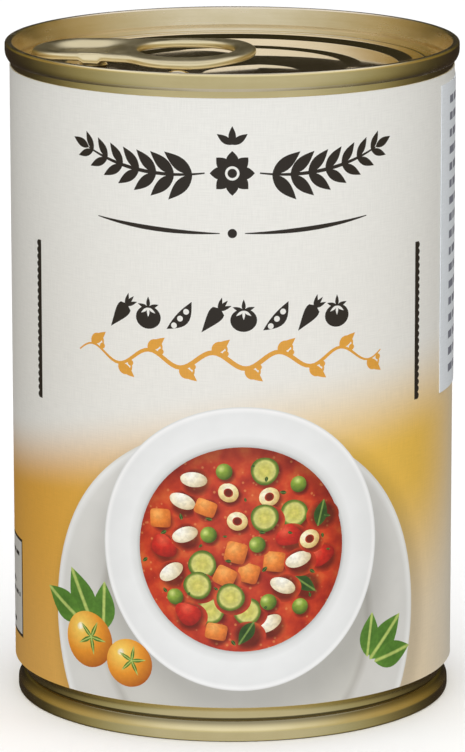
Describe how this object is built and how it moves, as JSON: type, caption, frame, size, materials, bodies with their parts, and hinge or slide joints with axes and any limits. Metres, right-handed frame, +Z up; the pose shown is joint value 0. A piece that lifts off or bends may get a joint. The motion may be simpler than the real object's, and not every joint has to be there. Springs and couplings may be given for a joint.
{
  "type": "shut food can of minestrone with a ring-pull lid",
  "caption": "Shut steel can of minestrone: gold tinplate body with double seams and a necked foot, recessed ring-pull lid, wrap-round paper label and a side sticker.",
  "frame": {"origin": "centre of the circle that the can stands on", "axes": "+Z up along the can's axis; -Y out of the middle of the label, towards the viewer; -X towards the nose of the ring pull; +X towards the side sticker"},
  "size_m": [0.075, 0.075, 0.11],
  "materials": {
    "gold_tinplate": "gold-lacquered tinplate, semi-gloss with a faint rolled grain",
    "tab_tinplate": "gold-lacquered tinplate, semi-gloss, rolled edges",
    "label_paper": "coated label paper with a printed linen weave, satin",
    "sticker_paper": "self-adhesive paper, satin"
  },
  "bodies": {
    "root": {"can_body": "gold_tinplate", "top_end": "gold_tinplate", "bottom_end": "gold_tinplate", "pull_tab": "tab_tinplate", "label": "label_paper", "side_sticker": "sticker_paper"}
  },
  "joints": []
}
